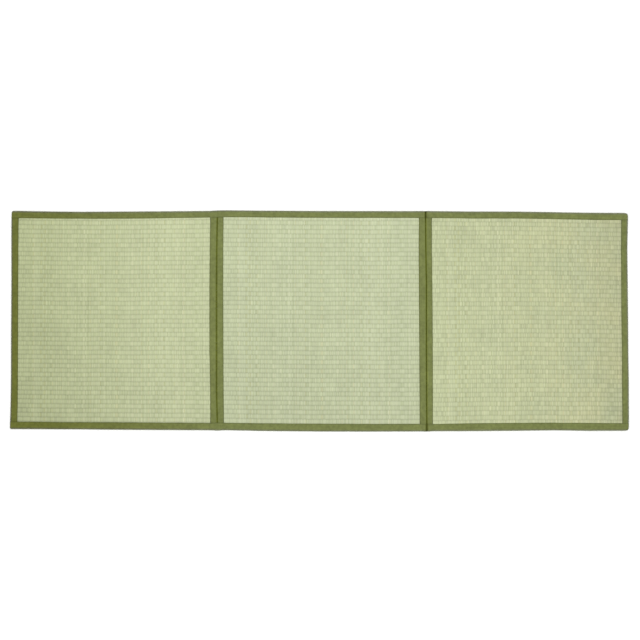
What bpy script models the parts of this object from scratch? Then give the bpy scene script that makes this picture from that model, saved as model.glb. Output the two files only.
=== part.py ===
# Three-panel folding tatami mat, lying open and flat with its rush face up.
#
# Frame: metres, +X along the mat, +Y towards its back long side, +Z up, underside at z = 0.
# Each panel is a slab of ribbed rush matting, pressed down at its rim where cloth tape binds it.
# Four tapes bind the short sides. The two between panels are shared, and are the hinges:
# the left one joins its panels at the top face, the right one at the underside.
# Two long tapes then cover the back and front sides over all three panels.
#
# Every piece is modelled straight and square. One function, uneven(), then moves its points
# to the real mat's slightly bowed sides, so neighbours keep their clearance.

import math

import bmesh
import bpy
import numpy as np

for existing in list(bpy.data.objects):
    bpy.data.objects.remove(existing)

MM = 0.001

# The mat as a whole.
HALF_WIDTH = 356.0 * MM
THICKNESS = 13.0 * MM
EDGE_RADIUS = 5.0 * MM
CLOTH = 1.0 * MM
GAP = 0.3 * MM
LIFT = CLOTH + GAP
ARC_STEPS = 3

# Lines across the mat: its two ends and its two hinges.
LEFT_END = -1000.0 * MM
LEFT_HINGE = -332.5 * MM
RIGHT_HINGE = 346.0 * MM
RIGHT_END = 1000.0 * MM

# How far each tape reaches over the face.
BACK_BAND = 23.0 * MM
FRONT_BAND = 25.5 * MM
LEFT_END_BAND = 25.0 * MM
LEFT_HINGE_BANDS = (23.5 * MM, 22.0 * MM)
RIGHT_HINGE_BANDS = (23.0 * MM, 20.5 * MM)
RIGHT_END_BAND = 22.5 * MM

# Half of the slit between the two sides of each hinge.
LEFT_HINGE_SLIT = 0.3 * MM
RIGHT_HINGE_SLIT = 0.7 * MM
CREASE_DEPTH = 3.4 * MM

# The rush face.
RIB_HEIGHT = 0.9 * MM
CREST_BELOW_TAPE = 0.6 * MM
RIM_STEP = 0.5 * MM
CORNER_DRAW = 0.96

# The long tapes, where they cross the short ones.
RAMP_START = 0.6 * MM
RAMP_END = 6.0 * MM
UNDER_SLIT = 0.6 * MM
TOP_SLIT = 3.2 * MM
CREASE_DIP = 1.0 * MM
CAP_ANGLES = (78.0, 60.0, 30.0, 0.0)

RUSH_COLOUR = (0.52, 0.57, 0.34, 1.0)
TAPE_COLOUR = (0.19, 0.22, 0.08, 1.0)

# One row for each panel, left to right. The slits are half widths, and the bands are the
# short tapes at its two ends. Its ribs are counted from the back: how many cross the face,
# how much of the first one shows, and how much finer they are at the back than at mid-width.
PANEL_COLUMNS = ("name", "start", "start_slit", "start_band", "end", "end_slit", "end_band",
                 "ribs", "first_rib", "finer_at_back")
PANEL_ROWS = (
    ("rush_panel_left", LEFT_END, 0.0, LEFT_END_BAND,
     LEFT_HINGE, LEFT_HINGE_SLIT, LEFT_HINGE_BANDS[0], 45.5, 0.40, 0.000),
    ("rush_panel_middle", LEFT_HINGE, LEFT_HINGE_SLIT, LEFT_HINGE_BANDS[1],
     RIGHT_HINGE, RIGHT_HINGE_SLIT, RIGHT_HINGE_BANDS[0], 45.6, 0.62, 0.017),
    ("rush_panel_right", RIGHT_HINGE, RIGHT_HINGE_SLIT, RIGHT_HINGE_BANDS[1],
     RIGHT_END, 0.0, RIGHT_END_BAND, 45.4, 0.74, 0.028),
)

# Sections along the mat, in mm: how far each long side lies from straight, towards the back,
# and how far its tape reaches over the face there.
ALONG_COLUMNS = ("x", "back_side", "back_band", "front_band", "front_side")
ALONG_ROWS = (
    (-1000.0, -0.5, 22.5, 25.5, 7.0),
    (-975.0, 0.0, 22.5, 25.5, 7.0),
    (-850.0, 0.0, 24.0, 25.0, 5.0),
    (-690.0, -0.5, 24.0, 25.0, 4.0),
    (-520.0, 0.5, 23.5, 24.5, 3.0),
    (-356.0, 1.0, 22.0, 23.5, 3.0),
    (-332.5, 2.0, 22.0, 26.0, 1.5),
    (-310.5, 2.5, 22.0, 24.0, 3.0),
    (-190.0, 2.5, 22.0, 25.5, 0.0),
    (0.0, 1.0, 22.5, 25.5, -2.0),
    (170.0, 1.0, 22.5, 25.5, -2.5),
    (323.0, 0.0, 22.0, 25.0, -1.5),
    (346.0, 0.0, 22.0, 24.5, -1.0),
    (366.5, 0.0, 23.0, 24.0, -0.5),
    (500.0, 0.0, 24.0, 26.0, -0.5),
    (640.0, -1.0, 23.0, 26.0, 0.5),
    (760.0, -2.5, 23.0, 24.5, 2.0),
    (870.0, -4.5, 23.5, 26.0, 0.0),
    (977.5, -6.0, 23.5, 26.0, 1.0),
    (1000.0, -6.0, 23.5, 26.0, 1.0),
)

# Sections across the mat, back to front, in mm: how far each line across lies from straight,
# towards the right. The lines are the ends, the hinges and the tapes' inner edges.
ACROSS_COLUMNS = ("y", "left_end", "left_end_tape", "left_hinge_tape_1", "left_hinge",
                  "left_hinge_tape_2", "right_hinge_tape_1", "right_hinge",
                  "right_hinge_tape_2", "right_end_tape", "right_end")
ACROSS_ROWS = (
    (356.0, 3.0, 1.0, 2.0, 2.0, -0.5, -1.0, -2.0, -2.0, -0.5, 0.0),
    (240.0, 1.5, 0.0, 1.0, -0.5, -1.0, -1.5, -1.5, -2.0, -1.0, -2.0),
    (0.0, 1.0, -1.0, -0.5, -1.0, -1.0, -0.5, 0.5, 0.5, 0.0, 1.0),
    (-240.0, -0.5, -1.5, 2.0, -1.0, 0.5, 1.0, 1.0, 1.5, 2.5, 2.5),
    (-356.0, -2.5, -2.0, 2.0, 1.5, 1.5, 1.5, 1.5, 1.5, 3.5, 2.5),
)

LINES_ACROSS = (
    LEFT_END,
    LEFT_END + LEFT_END_BAND,
    LEFT_HINGE - LEFT_HINGE_BANDS[0],
    LEFT_HINGE,
    LEFT_HINGE + LEFT_HINGE_BANDS[1],
    RIGHT_HINGE - RIGHT_HINGE_BANDS[0],
    RIGHT_HINGE,
    RIGHT_HINGE + RIGHT_HINGE_BANDS[1],
    RIGHT_END - RIGHT_END_BAND,
    RIGHT_END,
)


def columns_in_metres(names, rows):
    """The table's columns by name, each sorted by the first one."""
    ordered = sorted(rows)
    return {name: np.array(values) * MM for name, values in zip(names, zip(*ordered))}


ALONG = columns_in_metres(ALONG_COLUMNS, ALONG_ROWS)
ACROSS = columns_in_metres(ACROSS_COLUMNS, ACROSS_ROWS)
STRAIGHT_Y = (-HALF_WIDTH, FRONT_BAND - HALF_WIDTH, HALF_WIDTH - BACK_BAND, HALF_WIDTH)


def uneven(x, y):
    """Moves a point of the straight mat to its place on the real one."""
    front = -HALF_WIDTH + np.interp(x, ALONG["x"], ALONG["front_side"])
    back = HALF_WIDTH + np.interp(x, ALONG["x"], ALONG["back_side"])
    real_y = (
        front,
        front + np.interp(x, ALONG["x"], ALONG["front_band"]),
        back - np.interp(x, ALONG["x"], ALONG["back_band"]),
        back,
    )
    shift_y = np.interp(y, STRAIGHT_Y, np.subtract(real_y, STRAIGHT_Y))
    shifts = [np.interp(y, ACROSS["y"], ACROSS[name]) for name in ACROSS_COLUMNS[1:]]
    shift_x = np.interp(x, LINES_ACROSS, shifts)
    return x + float(shift_x), y + float(shift_y)


def material(name, colour, roughness):
    made = bpy.data.materials.new(name)
    made.use_nodes = True
    shader = made.node_tree.nodes["Principled BSDF"]
    shader.inputs["Base Color"].default_value = colour
    shader.inputs["Roughness"].default_value = roughness
    shader.inputs["Metallic"].default_value = 0.0
    made.diffuse_color = colour
    return made


def finish(name, mesh, finish_material):
    """Bends a straight mesh to the real outline and adds it to the mat."""
    for vertex in mesh.vertices:
        vertex.co.x, vertex.co.y = uneven(vertex.co.x, vertex.co.y)
    mesh.materials.clear()
    mesh.materials.append(finish_material)
    piece = bpy.data.objects.new(name, mesh)
    mat_collection.objects.link(piece)
    mesh.shade_smooth()
    mesh.set_sharp_from_angle(angle=math.radians(35.0))
    return piece


def evaluated_copy(source):
    """The source's mesh with its modifiers applied. The source is removed."""
    bpy.context.view_layer.update()
    graph = bpy.context.evaluated_depsgraph_get()
    mesh = bpy.data.meshes.new_from_object(source.evaluated_get(graph))
    mesh.transform(source.matrix_world)
    bpy.data.objects.remove(source)
    return mesh


def cut(bm, faces, point, normal):
    """Adds a line of edges where a plane crosses these faces."""
    edges = {edge for face in faces for edge in face.edges}
    verts = {vert for face in faces for vert in face.verts}
    bmesh.ops.bisect_plane(
        bm, geom=[*verts, *edges, *faces], plane_co=point, plane_no=normal, dist=1e-7
    )


# Rush panels. Each is a slab that is rounded at its sides, lower at its rim by the tape's
# thickness on both faces, and ribbed along its length on top.
RIM_INSET = CLOTH + GAP
CORE_RADIUS = EDGE_RADIUS - RIM_INSET
RIM_TOP = THICKNESS - RIM_INSET
CREST = THICKNESS - CREST_BELOW_TAPE
RIB_PROFILE = ((0.0, 0.0), (0.28, 1.0), (0.72, 1.0))


def rib_lines(panel):
    """Where the rib profile's points lie across the face, as (y, height) from the back."""
    back = HALF_WIDTH - BACK_BAND - GAP - RIM_STEP
    front = FRONT_BAND + GAP + RIM_STEP - HALF_WIDTH
    lines = []
    for rib in range(-1, int(panel["ribs"]) + 2):
        for part, height in RIB_PROFILE:
            share = (rib + panel["first_rib"] + part) / panel["ribs"]
            if 0.001 < share < 0.999:
                share -= panel["finer_at_back"] * share * (1.0 - share)
                lines.append((back + (front - back) * share, height))
    return lines


def panel_height(lines, y):
    """The ribbed face's height, level at the first and last rib's sides."""
    ordered = sorted(lines)
    height = np.interp(y, [line[0] for line in ordered], [line[1] for line in ordered])
    return CREST - RIB_HEIGHT * (1.0 - float(height))


def core_arc(line, inwards):
    """The cuts that round one side of a slab: its side face lies RIM_INSET inside the line."""
    angles = [math.pi / 2 * step / ARC_STEPS for step in range(ARC_STEPS)]
    return [line + inwards * (EDGE_RADIUS - CORE_RADIUS * math.sin(a)) for a in angles]


def rush_panel(panel, finish_material):
    left = panel["start"] + panel["start_slit"]
    right = panel["end"] - panel["end_slit"]
    rim_x = (panel["start"] + panel["start_band"] + GAP, panel["end"] - panel["end_band"] - GAP)
    rim_y = (FRONT_BAND + GAP - HALF_WIDTH, HALF_WIDTH - BACK_BAND - GAP)
    face_x = (rim_x[0] + RIM_STEP, rim_x[1] - RIM_STEP)
    face_y = (rim_y[0] + RIM_STEP, rim_y[1] - RIM_STEP)
    bows = [x for x in ALONG["x"] if face_x[0] + EDGE_RADIUS < x < face_x[1] - EDGE_RADIUS]

    bm = bmesh.new()
    bmesh.ops.create_cube(bm, size=1.0)
    size = (right - left - 2 * RIM_INSET, 2 * (HALF_WIDTH - RIM_INSET), THICKNESS)
    bmesh.ops.scale(bm, vec=size, verts=bm.verts)
    middle = ((left + right) / 2, 0.0, THICKNESS / 2)
    bmesh.ops.translate(bm, vec=middle, verts=bm.verts)
    cuts_x = [*core_arc(left, 1), *core_arc(right, -1), *rim_x, *face_x, *bows]
    cuts_y = [*core_arc(-HALF_WIDTH, 1), *core_arc(HALF_WIDTH, -1), *rim_y, *face_y,
              *ACROSS["y"][1:-1]]
    for x in cuts_x:
        cut(bm, bm.faces[:], (x, 0, 0), (1, 0, 0))
    for y in cuts_y:
        cut(bm, bm.faces[:], (0, y, 0), (0, 1, 0))

    lines = rib_lines(panel)
    for y, _ in lines:
        across = [
            face
            for face in bm.faces
            if face.normal.z > 0.5
            and rim_x[0] < face.calc_center_median().x < rim_x[1]
            and min(v.co.y for v in face.verts) < y < max(v.co.y for v in face.verts)
        ]
        cut(bm, across, (0, y, 0), (0, 1, 0))

    for vert in bm.verts:
        x, y, z = vert.co
        upper = z > THICKNESS / 2
        over_x = max(left + EDGE_RADIUS - x, x - right + EDGE_RADIUS, 0.0)
        over_y = max(abs(y) - HALF_WIDTH + EDGE_RADIUS, 0.0)
        over = math.hypot(over_x, over_y)
        if over > 1e-7:
            reach = max(over_x, over_y) / over * (CORNER_DRAW if over_x * over_y > 0 else 1.0)
            vert.co.x -= math.copysign(over_x * (1 - reach), x - middle[0])
            vert.co.y -= math.copysign(over_y * (1 - reach), y)
            over *= reach
        rise = math.sqrt(max(CORE_RADIUS**2 - over**2, 0.0))
        inside = face_x[0] - 1e-6 < x < face_x[1] + 1e-6 and face_y[0] - 1e-6 < y < face_y[1] + 1e-6
        if upper:
            vert.co.z = panel_height(lines, y) if inside else THICKNESS - EDGE_RADIUS + rise
        else:
            vert.co.z = 0.0 if inside else EDGE_RADIUS - rise
    mesh = bpy.data.meshes.new(panel["name"])
    bm.to_mesh(mesh)
    bm.free()
    return finish(panel["name"], mesh, finish_material)


# Short tapes. Each is cloth folded round the ends of the panels, so its section is drawn as
# a closed outline and extruded across the mat.
SHORT_TAPE_END = HALF_WIDTH - EDGE_RADIUS - GAP
BACK_CROSSING = HALF_WIDTH - BACK_BAND - GAP
FRONT_CROSSING = FRONT_BAND + GAP - HALF_WIDTH


def fold_path(band, depth):
    """Cloth round one edge, as (distance from the side, height), from the top face's
    inner edge round to the underside's. depth is 0 on its outer face."""
    radius = EDGE_RADIUS - depth
    angles = [math.pi / 2 * step / ARC_STEPS for step in range(ARC_STEPS + 1)]
    turn = [(EDGE_RADIUS - radius * math.sin(a), EDGE_RADIUS - radius * math.cos(a)) for a in angles]
    upper = [(d, THICKNESS - z) for d, z in turn]
    return [(band, THICKNESS - depth), *upper, *reversed(turn), (band, depth)]


def end_section(line, inwards, band):
    outer = fold_path(band, 0.0)
    inner = fold_path(band, CLOTH)
    return [(line + inwards * d, z) for d, z in [*outer, *reversed(inner)]]


def hinge_section(line, bands, slit, joined_on_top):
    """Two folds back to back, joined by a web at the top face or at the underside."""
    left_in = [(line - slit - d, z) for d, z in fold_path(bands[0] - slit, CLOTH)]
    right_in = [(line + slit + d, z) for d, z in fold_path(bands[1] - slit, CLOTH)]
    left_out = [(line - slit - d, z) for d, z in fold_path(bands[0] - slit, 0.0)]
    right_out = [(line + slit + d, z) for d, z in fold_path(bands[1] - slit, 0.0)]
    turn = ARC_STEPS + 1
    if joined_on_top:
        crease = THICKNESS - CREASE_DEPTH
        over = [*left_out[:turn], (line, crease), *reversed(right_out[:turn])]
        web = [(line + slit, crease - CLOTH), (line - slit, crease - CLOTH)]
        under = [*reversed(right_out[turn + 1:]), *web, *left_out[turn + 1:]]
    else:
        web = [(line - slit, CLOTH), (line + slit, CLOTH)]
        over = [*left_out[:turn + 1], *web, *reversed(right_out[:turn + 1])]
        under = [right_out[-1], left_out[-1]]
    return [*over, *right_in, *under, *reversed(left_in)]


def short_tape(name, section, finish_material):
    curve = bpy.data.curves.new(name, "CURVE")
    curve.dimensions = "2D"
    curve.fill_mode = "BOTH"
    curve.extrude = SHORT_TAPE_END
    spline = curve.splines.new("POLY")
    spline.points.add(len(section) - 1)
    spline.use_cyclic_u = True
    for point, (x, z) in zip(spline.points, section):
        point.co = (x, z, 0.0, 1.0)
    drawn = bpy.data.objects.new(name + "_section", curve)
    bpy.context.scene.collection.objects.link(drawn)
    drawn.rotation_euler.x = math.pi / 2
    mesh = evaluated_copy(drawn)

    bm = bmesh.new()
    bm.from_mesh(mesh)
    bmesh.ops.remove_doubles(bm, verts=bm.verts, dist=1e-6)
    for y in [*ACROSS["y"][1:-1], *STRAIGHT_Y[1:-1]]:
        cut(bm, bm.faces[:], (0, y, 0), (0, 1, 0))
    bmesh.ops.recalc_face_normals(bm, faces=bm.faces)
    bm.to_mesh(mesh)
    bm.free()

    straight = bpy.data.objects.new(name + "_straight", mesh)
    bpy.context.scene.collection.objects.link(straight)
    for cutter in trim_cutters:
        trim = straight.modifiers.new("trim_" + cutter.name, "BOOLEAN")
        trim.operation = "DIFFERENCE"
        trim.object = cutter
    return finish(name, evaluated_copy(straight), finish_material)


def trim_cutter(name, x_range, y_range, z_range):
    """Takes off what a short tape doesn't have where a long tape wraps round its ends."""
    low, high = np.array([x_range, y_range, z_range]).T
    bm = bmesh.new()
    bmesh.ops.create_cube(bm, size=1.0)
    bmesh.ops.scale(bm, vec=high - low, verts=bm.verts)
    bmesh.ops.translate(bm, vec=(low + high) / 2, verts=bm.verts)
    mesh = bpy.data.meshes.new(name)
    bm.to_mesh(mesh)
    bm.free()
    cutter = bpy.data.objects.new(name, mesh)
    cutter.hide_render = True
    cutter.display_type = "WIRE"
    cutter_collection.objects.link(cutter)
    return cutter


# Long tapes. Each is one sheet over the whole length: a row of stations, each a section round
# the side, thickened inwards. It rises over the short tapes' ends and closes at its own ends.
def station(x, lift=0.0, dip=0.0, top_turn=1.0, low_turn=1.0, opening=""):
    return {"x": x, "lift": lift, "dip": dip, "top_turn": top_turn, "low_turn": low_turn,
            "opening": opening}


def end_cap(line, inwards):
    """Stations that draw the tape in round a corner of the mat, from its tip."""
    rows = []
    for degrees in CAP_ANGLES:
        angle = math.radians(degrees)
        x = line + inwards * EDGE_RADIUS * (1 - math.sin(angle))
        rows.append(station(x, LIFT, 0.0, math.cos(angle), math.cos(angle)))
    return rows


def over_band(line, inwards, band):
    """Stations from a short tape's inner edge to where the long tape lies flat again."""
    inner = line + inwards * band
    return [station(inner, LIFT), station(inner + inwards * RAMP_START, LIFT),
            station(inner + inwards * RAMP_END)]


def long_tape_stations():
    slope = EDGE_RADIUS + LEFT_HINGE_SLIT
    turned = EDGE_RADIUS + RIGHT_HINGE_SLIT
    radius = EDGE_RADIUS + LIFT
    rows = [*end_cap(LEFT_END, 1), *over_band(LEFT_END, 1, LEFT_END_BAND)]
    rows += over_band(LEFT_HINGE, -1, LEFT_HINGE_BANDS[0])
    rows += [station(LEFT_HINGE - slope, LIFT),
             station(LEFT_HINGE - UNDER_SLIT, LIFT, CREASE_DIP, opening="under"),
             station(LEFT_HINGE + UNDER_SLIT, LIFT, CREASE_DIP),
             station(LEFT_HINGE + slope, LIFT)]
    rows += over_band(LEFT_HINGE, 1, LEFT_HINGE_BANDS[1])
    rows += over_band(RIGHT_HINGE, -1, RIGHT_HINGE_BANDS[0])
    for side in (-1, 1):
        for distance in (turned, (turned + TOP_SLIT) / 2, TOP_SLIT):
            turn = math.sqrt(radius**2 - (turned - distance) ** 2) / radius
            opening = "top" if side < 0 and distance == TOP_SLIT else ""
            rows.append(station(RIGHT_HINGE + side * distance, LIFT, 0.0, turn, 1.0, opening))
    rows += over_band(RIGHT_HINGE, 1, RIGHT_HINGE_BANDS[1])
    rows += [*over_band(RIGHT_END, -1, RIGHT_END_BAND), *end_cap(RIGHT_END, -1)]
    taken = [row["x"] for row in rows]
    clear = 2 * EDGE_RADIUS
    rows += [station(x) for x in ALONG["x"] if min(abs(x - t) for t in taken) > clear]
    return sorted(rows, key=lambda row: row["x"])


def long_tape_section(row, band):
    """Points round the side at one station, as (distance from the side, height). Where the
    tape is lifted it stands higher on top, and its side stays in line."""
    angles = [math.pi / 2 * step / ARC_STEPS for step in range(ARC_STEPS + 1)]
    top = THICKNESS - EDGE_RADIUS
    upper = [
        (EDGE_RADIUS - EDGE_RADIUS * row["top_turn"] * math.sin(a),
         top - row["dip"] + (EDGE_RADIUS + row["lift"]) * row["top_turn"] * math.cos(a))
        for a in angles
    ]
    lower = [
        (EDGE_RADIUS - EDGE_RADIUS * row["low_turn"] * math.sin(a),
         EDGE_RADIUS - EDGE_RADIUS * row["low_turn"] * math.cos(a))
        for a in reversed(angles)
    ]
    return [(band, upper[0][1]), *upper, *lower, (band, lower[-1][1])]


def long_tape(name, side, band, finish_material):
    rows = long_tape_stations()
    steps = len(long_tape_section(rows[0], band)) - 1
    bm = bmesh.new()
    bmesh.ops.create_grid(bm, x_segments=len(rows) - 1, y_segments=steps, size=1.0)
    place = {}
    for vert in bm.verts:
        column = round((vert.co.x + 1.0) / 2.0 * (len(rows) - 1))
        place[vert] = (column, round((vert.co.y + 1.0) / 2.0 * steps))
    # The crease hinge leaves the side and underside open, the other one the top and side.
    open_steps = {"under": range(ARC_STEPS + 1, steps), "top": range(0, ARC_STEPS + 2)}
    gone = []
    for face in bm.faces:
        column = min(place[vert][0] for vert in face.verts)
        step = min(place[vert][1] for vert in face.verts)
        opening = rows[column]["opening"]
        if opening and step in open_steps[opening]:
            gone.append(face)
    for vert, (column, step) in place.items():
        distance, height = long_tape_section(rows[column], band)[step]
        vert.co = (rows[column]["x"], side * (HALF_WIDTH - distance), height)
    bmesh.ops.delete(bm, geom=gone, context="FACES")
    bmesh.ops.recalc_face_normals(bm, faces=bm.faces)
    upward = sum(face.normal.z * face.calc_area() for face in bm.faces
                 if face.calc_center_median().z > THICKNESS)
    if upward < 0.0:
        bmesh.ops.reverse_faces(bm, faces=bm.faces)
    mesh = bpy.data.meshes.new(name)
    bm.to_mesh(mesh)
    bm.free()

    sheet = bpy.data.objects.new(name + "_sheet", mesh)
    bpy.context.scene.collection.objects.link(sheet)
    thicken = sheet.modifiers.new("cloth", "SOLIDIFY")
    thicken.thickness = CLOTH
    thicken.offset = -1.0
    thicken.use_even_offset = True
    return finish(name, evaluated_copy(sheet), finish_material)


mat_collection = bpy.data.collections.new("tatami_mat")
cutter_collection = bpy.data.collections.new("cutters")
bpy.context.scene.collection.children.link(mat_collection)
bpy.context.scene.collection.children.link(cutter_collection)

rush = material("woven_rush", RUSH_COLOUR, 0.7)
tape = material("edge_tape", TAPE_COLOUR, 0.85)

for values in PANEL_ROWS:
    rush_panel(dict(zip(PANEL_COLUMNS, values)), rush)

ALL_ALONG = (LEFT_END - EDGE_RADIUS, RIGHT_END + EDGE_RADIUS)
LEFT_FOLD = (LEFT_END - EDGE_RADIUS, LEFT_END + EDGE_RADIUS + GAP)
RIGHT_FOLD = (RIGHT_END - EDGE_RADIUS - GAP, RIGHT_END + EDGE_RADIUS)
trim_cutters = []
for side_name, crossing in (
    ("back", (BACK_CROSSING, HALF_WIDTH)),
    ("front", (-HALF_WIDTH, FRONT_CROSSING)),
):
    for trim_name, x_range, trim_top in (
        ("below", ALL_ALONG, EDGE_RADIUS),
        ("left_fold", LEFT_FOLD, THICKNESS + EDGE_RADIUS),
        ("right_fold", RIGHT_FOLD, THICKNESS + EDGE_RADIUS),
    ):
        trim_cutters.append(
            trim_cutter(f"trim_{side_name}_{trim_name}", x_range, crossing, (-EDGE_RADIUS, trim_top))
        )
short_tape("end_tape_left", end_section(LEFT_END, 1, LEFT_END_BAND), tape)
short_tape("hinge_tape_left",
           hinge_section(LEFT_HINGE, LEFT_HINGE_BANDS, LEFT_HINGE_SLIT, True), tape)
short_tape("hinge_tape_right",
           hinge_section(RIGHT_HINGE, RIGHT_HINGE_BANDS, RIGHT_HINGE_SLIT, False), tape)
short_tape("end_tape_right", end_section(RIGHT_END, -1, RIGHT_END_BAND), tape)

long_tape("side_tape_back", 1, BACK_BAND, tape)
long_tape("side_tape_front", -1, FRONT_BAND, tape)
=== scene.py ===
import math

import bpy
import numpy as np
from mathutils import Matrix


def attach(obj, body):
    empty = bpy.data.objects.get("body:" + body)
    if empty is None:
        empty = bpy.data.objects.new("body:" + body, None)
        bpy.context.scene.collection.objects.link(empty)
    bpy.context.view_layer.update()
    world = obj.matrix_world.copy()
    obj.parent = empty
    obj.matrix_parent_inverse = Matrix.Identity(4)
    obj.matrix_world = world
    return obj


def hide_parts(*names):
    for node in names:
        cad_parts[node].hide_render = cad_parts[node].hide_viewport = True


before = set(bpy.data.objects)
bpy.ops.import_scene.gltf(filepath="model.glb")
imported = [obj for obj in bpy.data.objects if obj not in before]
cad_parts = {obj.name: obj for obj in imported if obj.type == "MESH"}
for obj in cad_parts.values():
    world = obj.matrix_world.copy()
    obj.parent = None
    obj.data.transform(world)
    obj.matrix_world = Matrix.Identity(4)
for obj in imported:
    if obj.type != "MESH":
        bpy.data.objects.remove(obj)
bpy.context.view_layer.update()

# Rush panels. Each is a rectangle of woven rush matting on its pad, about 12 mm thick in all.
# The rushes run across the mat. Each one floats over every second rib and dives in the
# grooves between ribs, and its neighbours float over the others, like bricks in a wall.
MM = 0.001
HALF_WIDTH = 356.0 * MM
THICKNESS = 13.0 * MM
EDGE_RADIUS = 5.0 * MM
CLOTH = 1.0 * MM
GAP = 0.3 * MM
BACK_BAND = 23.0 * MM
FRONT_BAND = 25.5 * MM

LEFT_END, LEFT_HINGE, RIGHT_HINGE, RIGHT_END = -1000 * MM, -332.5 * MM, 346 * MM, 1000 * MM
LEFT_END_BAND, RIGHT_END_BAND = 25.0 * MM, 22.5 * MM
LEFT_HINGE_BANDS = (23.5 * MM, 22.0 * MM)
RIGHT_HINGE_BANDS = (23.0 * MM, 20.5 * MM)
LEFT_HINGE_SLIT, RIGHT_HINGE_SLIT = 0.3 * MM, 0.7 * MM

# The real mat's sides, in mm. Along it: how far each long side lies from straight, towards
# the back, and how far its tape reaches over the face.
ALONG_ROWS = (
    # x, back side, back band, front band, front side
    (-1000.0, 0.9, 23.2, 24.2, 6.4),
    (-975.0, 1.1, 23.4, 24.2, 6.4),
    (-940.0, 0.3, 23.0, 23.8, 6.4),
    (-850.0, -1.1, 22.7, 23.2, 5.8),
    (-776.0, -1.9, 22.3, 23.1, 5.5),
    (-690.0, -1.4, 23.0, 24.0, 4.6),
    (-520.0, -0.3, 22.7, 23.7, 3.6),
    (-356.0, 1.0, 21.3, 23.4, 2.6),
    (-332.5, 2.6, 22.3, 25.7, 1.3),
    (-310.5, 3.1, 22.2, 24.0, 2.9),
    (-190.0, 1.9, 21.9, 24.8, 0.4),
    (0.0, 0.7, 22.1, 25.3, -1.5),
    (170.0, 0.5, 22.2, 25.0, -1.8),
    (323.0, 0.4, 22.1, 24.4, -1.2),
    (346.0, 0.7, 22.5, 24.9, -2.0),
    (366.5, 0.3, 22.2, 23.4, -0.6),
    (500.0, -0.8, 22.8, 25.4, -0.1),
    (640.0, -1.1, 22.3, 25.6, 1.0),
    (760.0, -3.0, 22.5, 24.6, 2.4),
    (870.0, -4.9, 22.9, 25.6, 0.7),
    (977.5, -5.6, 23.0, 24.3, 1.1),
    (1000.0, -5.6, 23.0, 24.3, 1.1),
)
# Across it, front to back: how far each line across lies from straight, towards the right.
ACROSS_ROWS = (
    # y, left end, its tape's edge, left hinge's first edge, hinge, second edge,
    # right hinge's first edge, hinge, second edge, right end tape's edge, right end
    (-356.0, -3.0, -3.4, 2.5, 2.5, 1.5, 1.7, 2.2, 0.8, 4.0, 2.4),
    (-310.0, -1.5, -3.2, 2.5, 1.2, 1.0, 1.5, 1.9, 0.9, 3.6, 3.0),
    (-240.0, 0.0, -1.8, 2.4, -0.8, 0.2, 1.3, 1.5, 1.1, 3.0, 2.5),
    (-190.0, 0.7, -1.6, 1.5, -0.8, -0.1, 1.1, 1.3, 0.9, 2.8, 2.4),
    (-90.0, 0.9, -1.3, -0.2, -0.7, -0.6, 0.6, 1.0, 0.6, 2.5, 0.9),
    (0.0, 1.3, -1.0, -0.1, -0.7, -0.9, -0.3, 0.8, 0.1, 0.8, 0.3),
    (120.0, 2.1, -0.7, 0.0, -0.7, -1.2, -0.8, 1.0, -0.9, 0.0, -0.9),
    (240.0, 1.9, 0.0, 1.0, 0.0, -0.8, -1.5, -1.3, -2.4, -0.7, -2.2),
    (325.0, 2.1, 0.7, 2.2, 1.9, -0.5, -0.9, -1.8, -2.4, 0.1, -0.4),
    (356.0, 3.2, 1.0, 2.6, 2.6, -0.4, -0.7, -2.0, -2.4, 0.4, 0.2),
)
ALONG = np.array(ALONG_ROWS).T * MM
ACROSS = np.array(ACROSS_ROWS).T * MM
STRAIGHT_Y = np.array([-HALF_WIDTH, FRONT_BAND - HALF_WIDTH, HALF_WIDTH - BACK_BAND, HALF_WIDTH])
STRAIGHT_X = np.array([
    LEFT_END, LEFT_END + LEFT_END_BAND,
    LEFT_HINGE - LEFT_HINGE_BANDS[0], LEFT_HINGE, LEFT_HINGE + LEFT_HINGE_BANDS[1],
    RIGHT_HINGE - RIGHT_HINGE_BANDS[0], RIGHT_HINGE, RIGHT_HINGE + RIGHT_HINGE_BANDS[1],
    RIGHT_END - RIGHT_END_BAND, RIGHT_END,
])
# The right-hand corners are pulled rounder than the left ones: how much, and how far in.
CORNER_PULL, CORNER_REACH = 2.2 * MM, 16.0 * MM


def between(at, knots, shifts):
    """Each point's shift, read between the two knots around it."""
    low = np.clip(np.searchsorted(knots, at) - 1, 0, len(knots) - 2)
    share = np.clip((at - knots[low]) / (knots[low + 1] - knots[low]), 0.0, 1.0)
    point = np.arange(len(at))
    return shifts[low, point] * (1 - share) + shifts[low + 1, point] * share


def uneven(points):
    """Moves points of the straight mat to their places on the real one."""
    x, y = points[:, 0].copy(), points[:, 1].copy()
    back_side, back_band, front_band, front_side = (
        np.interp(x, ALONG[0], column) for column in ALONG[1:]
    )
    shifts_y = np.array([
        front_side, front_side + front_band - FRONT_BAND,
        back_side - back_band + BACK_BAND, back_side,
    ])
    shifts_x = np.array([np.interp(y, ACROSS[0], column) for column in ACROSS[1:]])
    from_corner = (RIGHT_END - x + HALF_WIDTH - abs(y)) / CORNER_REACH
    pull = CORNER_PULL * np.clip(1 - from_corner, 0.0, 1.0) ** 2
    points[:, 0] += between(x, STRAIGHT_X, shifts_x) - pull
    points[:, 1] += between(y, STRAIGHT_Y, shifts_y) - np.sign(y) * pull
    return points


def places(piece):
    """The piece's points as an array."""
    found = np.empty(len(piece.data.vertices) * 3)
    piece.data.vertices.foreach_get("co", found)
    return found.reshape(-1, 3)


def put(piece, points):
    """Moves the piece's points to these places."""
    piece.data.vertices.foreach_set("co", np.asarray(points, float).ravel())
    piece.data.update()


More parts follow.
